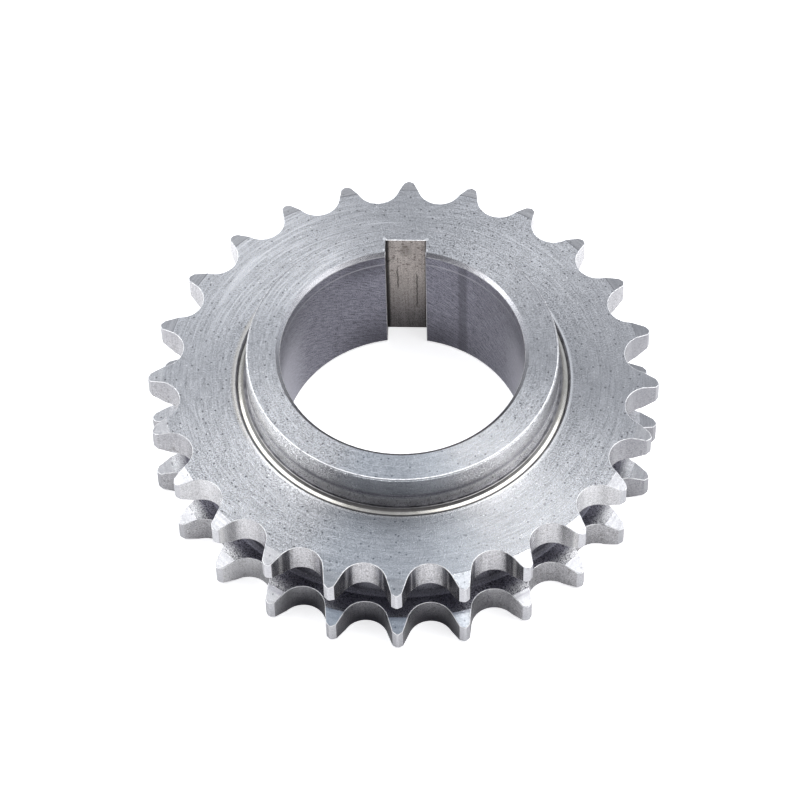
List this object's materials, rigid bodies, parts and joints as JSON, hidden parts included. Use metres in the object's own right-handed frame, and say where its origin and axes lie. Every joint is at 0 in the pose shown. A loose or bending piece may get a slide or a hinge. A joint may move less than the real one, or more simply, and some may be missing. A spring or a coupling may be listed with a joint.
{
  "type": "chain sprocket",
  "caption": "Double-row roller chain sprocket with a plain keyed bore and a short hub on one side.",
  "frame": {"origin": "middle of the bore at the rear face, the flat side without a hub", "axes": "+Z along the bore towards the hub, +Y through the middle of the keyway and the tooth over it"},
  "size_m": [0.0758, 0.0758, 0.0218],
  "materials": {
    "steel": "satin turned"
  },
  "bodies": {
    "root": {"sprocket": "steel"}
  },
  "joints": []
}
